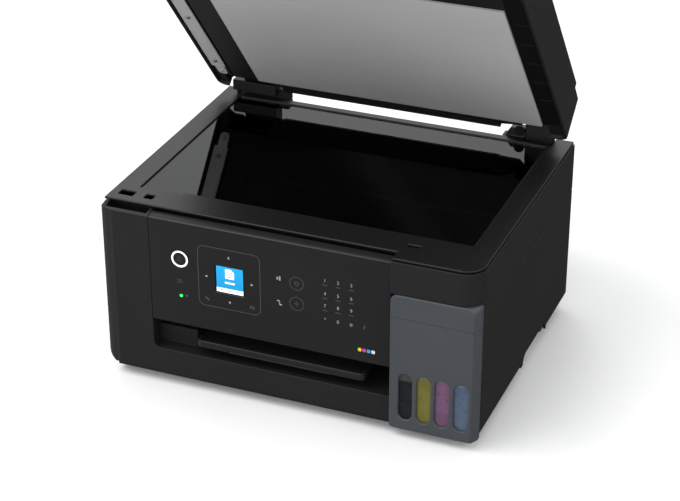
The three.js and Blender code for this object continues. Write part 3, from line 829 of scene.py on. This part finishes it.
def arrow(x, z, direction, size=1.7):
    """A solid triangle that points left, right, up or down."""
    turn = {"right": 0, "up": 1, "left": 2, "down": 3}[direction] * math.pi / 2
    corners = [turn, turn + 2.3, turn - 2.3]
    return printed([(x + size * math.cos(t), z + size * math.sin(t)) for t in corners])


def frame_line(x0, x1, z0, z1, radius, line):
    outer = printed(rounded(x0, x1, z0, z1, radius))
    inner = prism(rounded(x0 + line, x1 - line, z0 + line, z1 - line, radius - line), FACE - 2, FACE + 2, "y")
    return cut(outer, inner)


def digit(text, x, z, height):
    """One key's digit, as a thin solid."""
    curve = bpy.data.curves.new("digit", "FONT")
    curve.body = text
    curve.size = height * 1.4
    curve.align_x = "CENTER"
    curve.align_y = "CENTER"
    curve.extrude = 0.05
    obj = bpy.data.objects.new("digit", curve)
    bpy.context.scene.collection.objects.link(obj)
    view = bpy.context.evaluated_depsgraph_get()
    mesh = bpy.data.meshes.new_from_object(obj.evaluated_get(view))
    bpy.data.objects.remove(obj)
    bpy.data.curves.remove(curve)
    mesh.transform(Matrix.Translation((x, FACE, z)) @ Matrix.Rotation(math.pi / 2, 4, "X"))
    solid = bpy.data.objects.new("digit", mesh)
    bpy.context.scene.collection.objects.link(solid)
    return solid


def add_panel():
    """The panel's face, and the power key with its lit ring and its sign, a broken ring and a bar."""
    from_node("control_panel", "panel_face", 0.7, segments=3)
    x, z = (BUTTON.x0 + BUTTON.x1) / 2, (BUTTON.z0 + BUTTON.z1) / 2
    from_node("power_button", "power_key", 0.35)
    power = ring_mark(x, z, 8.5, 1.8, 0.05, BUTTON.y0)
    piece(power, "power_ring", "power_button", RING, 0.05)
    broken_ring = cut(ring_mark(x, z, 2.2, 0.5, 0.05, BUTTON.y0), block(x - 0.7, x + 0.7, -3, 3, z + 1, z + 4))
    stroke = rounded(x - 0.25, x + 0.25, z + 0.2, z + 2.6, 0.1, 2)
    sign = merge(broken_ring, prism(stroke, BUTTON.y0 - 0.05, BUTTON.y0 + 0.05, "y"))
    piece(sign, "power_sign", "power_button", FAINT_PRINT, 0.05)
    add_screen()
    add_prints()


def add_screen():
    """The display: a dark glass plate with the lit picture behind its surface."""
    from_node("lcd_screen", "screen_glass", 0.3, material=LCD_GLASS)
    front = SCREEN.y0
    x0, x1, z0, z1 = SCREEN.x0 + 0.9, SCREEN.x1 - 0.7, SCREEN.z0 + 0.8, SCREEN.z1 - 0.8
    middle = (x0 + x1) / 2
    bar_top = z0 + 4.4

    def lit(name, lift, material, *outlines):
        marks = [prism(outline, front - lift, front + 0.05, "y") for outline in outlines]
        piece(merge(*marks), name, "control_panel", material, 0.02)

    lit("screen_field", 0.03, LCD, rounded(x0, x1, bar_top, z1, 0.2, 2))
    lit("screen_bar", 0.03, PICTURE, rounded(x0, x1, z0, bar_top, 0.2, 2))
    page = [(middle - 4.5, bar_top + 10.5), (middle + 4.5, bar_top + 10.5), (middle + 4.5, bar_top + 17.5),
            (middle + 1.5, bar_top + 20.5), (middle - 4.5, bar_top + 20.5)]
    caption = rounded(middle - 5, middle + 5, bar_top + 5.2, bar_top + 7, 0.5, 3)
    lit("screen_page", 0.06, PICTURE, page, caption)
    lines = [rounded(middle - 3, middle + 3, z, z + 0.9, 0.2, 2)
             for z in (bar_top + 12, bar_top + 14.3, bar_top + 16.6)]
    lines += [rounded(x - 1.3, x + 1.3, z0 + 1.7, z0 + 2.8, 0.3, 2) for x in (middle - 8, middle, middle + 8)]
    lit("screen_lines", 0.09, LCD, *lines)


def add_prints():
    """The panel's printed marks: direction keys round the screen, copy keys, and a keypad."""
    bright = [
        arrow(-56.5, 150.9, "up"), arrow(-79.8, 127.4, "left"), arrow(-33.6, 127.3, "right"),
        arrow(-56.4, 103.8, "down"), bar(-8, 140, 1.4, 3), bar(-5.6, 140.2, 1.6, 4.4),
        bar(-7.3, 116.6, 3, 1.2), bar(-5, 112.8, 2.6, 1.4), bar(-6, 114.6, 1, 2.6),
    ]
    columns, rows = (38.9, 51.7, 64.6), (147, 133.4, 120.7, 106.4)
    for row, z in zip(("123", "456", "789", "*0#"), rows):
        for text, x in zip(row, columns):
            bright.append(digit(text, x, z, 3.4))
    piece(merge(*bright), "panel_print", "control_panel", PRINT, 0.01)

    faint = [
        frame_line(-88.3, -25, 96, 159.2, 6.5, 0.7), bar(-107.3, 117.6, 5.4, 0.8), bar(-107.3, 115.4, 5.4, 0.8),
        bar(-100.7, 102, 2.4, 2.4), bar(-80.3, 104.4, 2.2, 2.6), bar(-78.2, 103, 2, 2.2),
        bar(-35.2, 103.8, 2, 3), bar(-32.6, 103.2, 2, 3.4),
        ring_mark(11, 138.2, 7, 0.6), ring_mark(11, 117, 7.2, 0.6), ring_mark(11.1, 138.2, 2.2, 0.8),
        bar(11, 117, 4, 1), bar(11, 117, 1, 4.4), bar(76.6, 105.6, 1, 3), bar(77.8, 107.2, 1, 3),
    ]
    for z in rows[:3]:
        for x in columns:
            faint.append(bar(x, z - 4.7, 5, 0.9))
    piece(merge(*faint), "panel_faint_print", "control_panel", FAINT_PRINT, 0.01)
    piece(printed(circle(-106.5, 101.1, 1.5, 24)), "status_lamp", "control_panel", LED, 0.02)

    chips = {"yellow": "c9b820", "magenta": "c02a86", "cyan": "1d8fc4", "white": "c9c9c9"}
    for i, (name, code) in enumerate(chips.items()):
        chip = printed(rounded(71.2 + 4.4 * i, 74.6 + 4.4 * i, 80.6, 84, 0.8, 3))
        ink = plastic(f"chip_{name}", code, 0.5, bump=0.0)
        piece(chip, f"ink_chip_{name}", "control_panel", ink, 0.02)


# --------------------------------------------------------------------------------------------- lid

def bay_outline(gap):
    """The feeder bay's plan, round at its two front corners, with a gap all round for the covers."""
    side, front = 2.8, 3
    radius = 14 - side - gap
    return rounded(LID.x0 + side + gap, LID.x1 - side - gap, LID.y0 + front + gap, LID.y1,
                   [radius, radius, 1, 1], 10)


def lid_outline(inset):
    """The lid's plan: larger radii at its two front corners."""
    return rounded(LID.x0 + inset, LID.x1 - inset, LID.y0 + inset, LID.y1 - inset,
                   [14 - inset, 14 - inset, 10 - inset, 10 - inset], 12)


def add_lid():
    """The lid: its side liner with ribs, its shell, its mat, the feeder's strip and plate, and its top."""
    right = LID.x1 - 3
    liner = [prism(rounded(MAT.x1 + 0.8, right - 0.4, LID.y0 + 5, MAT.y1 - 2, 2),
                   LID_FLOOR - 0.25, LID_FLOOR - 0.05, "z")]
    liner += [block(MAT.x1 + 5, right - 2, y - 0.4, y + 0.4, LID_FLOOR - 1.4, LID_FLOOR - 0.1)
              for y in (LID.y1 - s for s in range(79, 224, 36))]
    piece(join(*liner), "lid_side_liner", "lid", DARK, 0.2, turn=OPENED)
    add_lid_shell()
    mat = prism(rounded(MAT.x0, MAT.x1, MAT.y0, MAT.y1, 1.2, 4), MAT.z0, MAT.z1, "z")
    from_node("document_mat", "white_mat", 0.5, mat, turn=OPENED).visible_glossy = False

    strip = merge(
        block(-163.5, MAT.x0 - 0.6, LID.y0 + 8, MAT.y1 + 0.5, 188.1, LID_FLOOR - 0.05),
        block(-166.3, -165, LID.y0 + 8, MAT.y1 - 1, 187.6, LID_FLOOR - 0.05))
    piece(strip, "feeder_window_strip", "lid", PANEL_BLACK, 0.4, turn=OPENED)

    plate_rear = LID.y1 - 41
    plate = merge(
        prism(rounded(-183, -167.4, LID.y0 + 8, plate_rear, [1, 1, 2, 2], 4), 188.6, 189.6, "z"),
        prism(rounded(-179.5, -169, plate_rear - 2, LID.y1 - 26, [0.5, 0.5, 4.5, 4.5], 6), 188.3, 189.5, "z"))
    piece(plate, "feeder_plate", "lid", PLATE_PAINTED_BRIGHT, 0.25, turn=OPENED)
    screws = [screw(-175.5, LID.y1 - s, 188.6, "z", -1, 2.6) for s in (53, 142, 231)]
    screws += [screw(-174, LID.y1 - 33, 188.3, "z", -1, 1.8)]
    piece(merge(*screws), "feeder_plate_screws", "lid", MOTOR, 0.1, turn=OPENED)
    add_lid_top()


def add_lid_shell():
    """The lid base and the feeder body as one shell, filled by the hinges and at the bay's front corners."""
    ring_width = 8
    seam_fill = cut(
        prism(lid_outline(0), LID.z1 - 1, FEEDER.z0 + 1, "z"),
        prism(lid_outline(ring_width), 200, 210, "z"),
        block(-170, -114, 268.4, 300, 200, 210), block(116.5, 169, 268.4, 300, 200, 210))
    rear_fills = []
    for x0, x1 in ((-128, -113), (115, 138.4)):
        rear_fills += [block(x0, x1, 267.6, 276.3, LID_FLOOR, LID.z1), block(x0, x1, 276, 290.3, 195.4, LID.z1)]
    front_wall = cut(prism(lid_outline(0), 212, FEEDER.z1, "z"),
                     prism(bay_outline(0), 200, 240, "z"), block(-200, 200, 60, 300, 200, 240))
    shell = join(cad_copy("lid_base", CLOSED), cad_copy("adf_body", CLOSED), seam_fill, front_wall, *rear_fills)

    # Room, with the lid closed, for the cover round the left hinge post and for the bosses.
    room = BOSS_RADIUS + 0.6
    pockets = [block(HINGE_COVER_X0 - 0.8, -160, 269, 300, 180, HINGE_COVER_TOP + 2),
               block(-161, POST_LEFT.x1 - 0.1, 269.4, 279.5, 180, HINGE_COVER_TOP + 0.6)]
    pockets += [block(x - room, x + room, 276.2, 280.2, 180, 199.2) for x in BOSS_CENTRES]
    shell = cut(shell, *pockets)
    piece(shell, "lid_shell", "lid", SHELL, 0.9, 2, ["lid_base", "adf_body"], OPENED)


def add_lid_top():
    """The feeder's two top covers: a grip and three grooves in one, a finger notch in the other."""
    cover = common(cad_copy("adf_cover", CLOSED), prism(bay_outline(0.3), 200, 240, "z"))
    grip = prism(rounded(FEEDER_LID.x0 + 6, FEEDER_LID.x0 + 14, 100, 165, 3.5), FEEDER_LID.z1 - 1, 240, "z")
    grooves = [block(x, x + 0.8, FEEDER_LID.y0 + 12, FEEDER_LID.y1 - 12, FEEDER_LID.z1 - 0.5, 240)
               for x in (-80, -76, -72)]
    from_node("adf_cover", "feeder_lid", 0.8, cut(cover, grip, *grooves), turn=OPENED)
    tray = common(cad_copy("document_tray_cover", CLOSED), prism(bay_outline(0.3), 200, 240, "z"))
    notch = prism(rounded(PAPER_LID.x0 - 5, PAPER_LID.x0 + 10, 105, 160, 4), PAPER_LID.z1 - 1.2, 240, "z")
    from_node("document_tray_cover", "document_tray_lid", 0.8, cut(tray, notch), turn=OPENED)


# ---------------------------------------------------------------------------------- what stays CAD

def dress_cad_nodes():
    """The CAD nodes that still show get their material, and small rounded edges by modifiers."""
    for name, node in frame["nodes"].items():
        if node.hide_render:
            continue
        node.data.materials.clear()
        node.data.materials.append(MATERIAL_OF[SLOT_OF[name]])
        weld = node.modifiers.new("weld", "WELD")
        weld.merge_threshold = 2e-6
        flat = node.modifiers.new("flat", "DECIMATE")
        flat.decimate_type = "DISSOLVE"
        flat.angle_limit = math.radians(1)
        bevel = node.modifiers.new("rounding", "BEVEL")
        bevel.limit_method = "ANGLE"
        bevel.angle_limit = SHARP
        bevel.width = 0.3 * MM
        bevel.segments = 2


add_camera()
add_stage()
add_covers()
add_front()
add_base()
add_rear_cover()
add_scanner()
add_tanks()
add_panel()
add_lid()
dress_cad_nodes()
